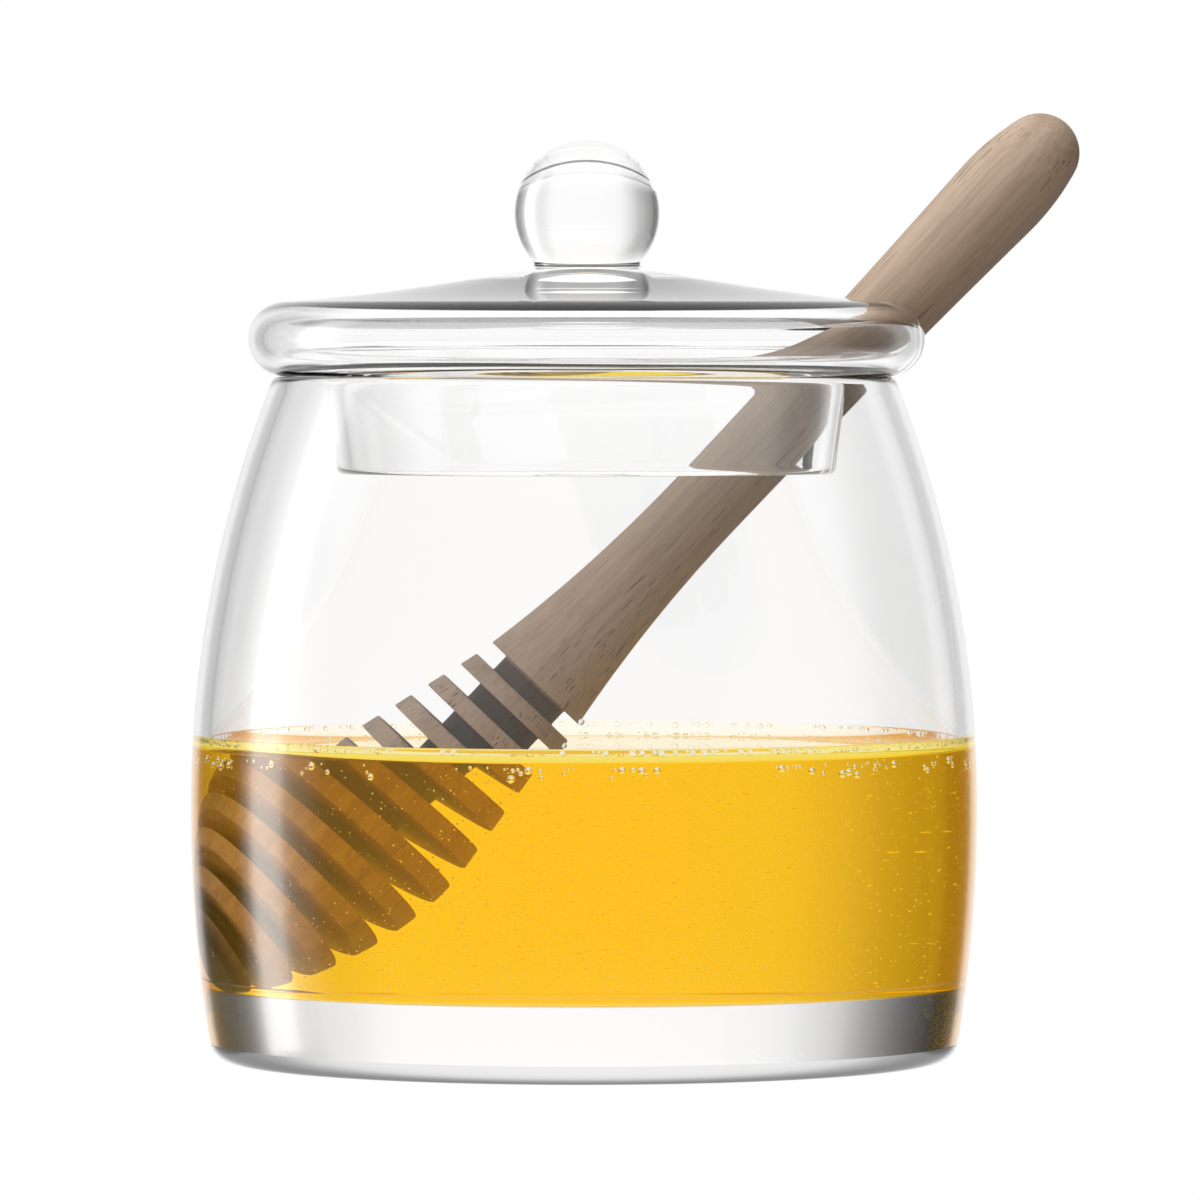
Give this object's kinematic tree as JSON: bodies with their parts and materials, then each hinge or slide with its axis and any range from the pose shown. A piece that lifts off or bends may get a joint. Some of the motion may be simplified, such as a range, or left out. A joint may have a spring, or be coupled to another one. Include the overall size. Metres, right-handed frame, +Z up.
{
  "type": "honey pot",
  "caption": "Lidded glass honey pot, part filled with clear honey, with a turned wooden dipper leaning out through the notch of its ball-knobbed lid.",
  "frame": {"origin": "middle of the flat face that the jar stands on, on the jar's axis", "axes": "+Z up along the jar's axis; -Y towards the viewer; the dipper's handle leans towards +X, 2.5 degrees towards +Y"},
  "size_m": [0.116, 0.1026, 0.1235],
  "materials": {
    "jar_glass": "clear polished glass",
    "lid_glass": "clear polished glass",
    "dipper_wood": "sanded unfinished hardwood with fine dark pores",
    "honey": "clear golden liquid with fine bubbles"
  },
  "bodies": {
    "root": {"jar": "jar_glass", "lid": "lid_glass", "dipper": "dipper_wood", "honey": "honey"}
  },
  "joints": []
}
